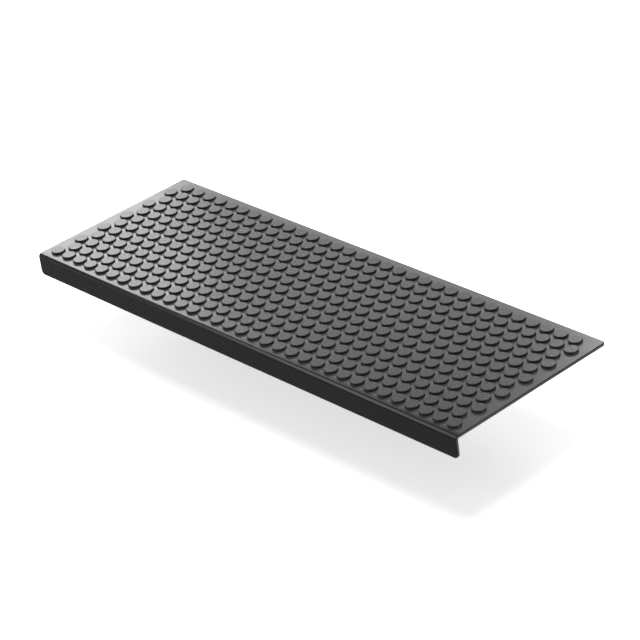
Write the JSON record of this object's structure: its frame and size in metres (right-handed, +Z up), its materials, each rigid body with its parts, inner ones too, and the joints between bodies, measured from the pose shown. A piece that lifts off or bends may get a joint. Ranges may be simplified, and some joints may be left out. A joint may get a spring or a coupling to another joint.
{
  "type": "anti slip stair tread mat",
  "caption": "Moulded rubber mat for a stair tread, with a staggered field of round grip studs and a rounded nosing whose lip hangs down over the stair's front edge.",
  "frame": {"origin": "centre of the underside that lies on the stair tread", "axes": "+X along the length of the stair, +Y from the nosing to the back of the tread, +Z up"},
  "size_m": [0.75, 0.25, 0.033],
  "materials": {
    "rubber": "semi-gloss black, moulded"
  },
  "bodies": {
    "root": {"tread_mat": "rubber"}
  },
  "joints": []
}
